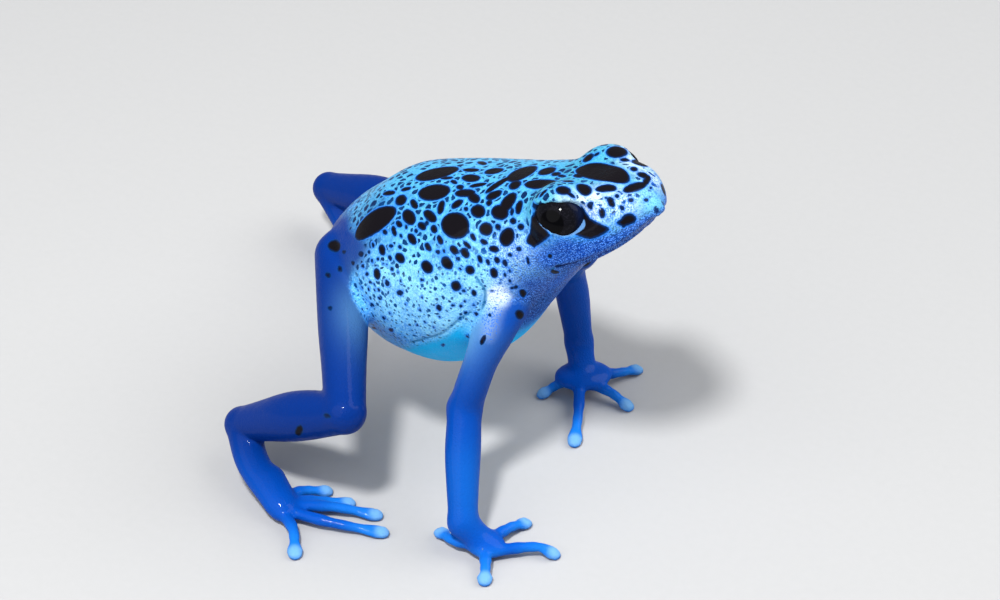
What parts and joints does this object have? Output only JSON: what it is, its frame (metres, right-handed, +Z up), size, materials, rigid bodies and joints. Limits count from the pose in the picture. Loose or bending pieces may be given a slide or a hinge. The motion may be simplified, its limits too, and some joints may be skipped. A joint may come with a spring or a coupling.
{
  "type": "blue poison dart frog model",
  "caption": "Still life-size poison dart frog standing alert on splayed legs, head raised, rounded finger and toe discs flat on the floor.",
  "frame": {"origin": "centre of the bounding box at floor level, z = 0 under the hands and feet", "axes": "+X forward along the body's heading, +Y to the animal's left, +Z up"},
  "size_m": [0.0552, 0.0478, 0.0359],
  "materials": {
    "skin": "moist satin skin, sky blue back with near-black spots, deep blue limbs",
    "eye": "wet black gloss"
  },
  "bodies": {
    "root": {"torso": "skin", "head": "skin", "eye_right": "eye", "eye_left": "eye", "upper_arm_right": "skin", "forearm_right": "skin", "hand_right": "skin", "upper_arm_left": "skin", "forearm_left": "skin", "hand_left": "skin", "thigh_right": "skin", "shank_right": "skin", "tarsus_right": "skin", "foot_right": "skin", "thigh_left": "skin", "shank_left": "skin", "tarsus_left": "skin", "foot_left": "skin"}
  },
  "joints": []
}
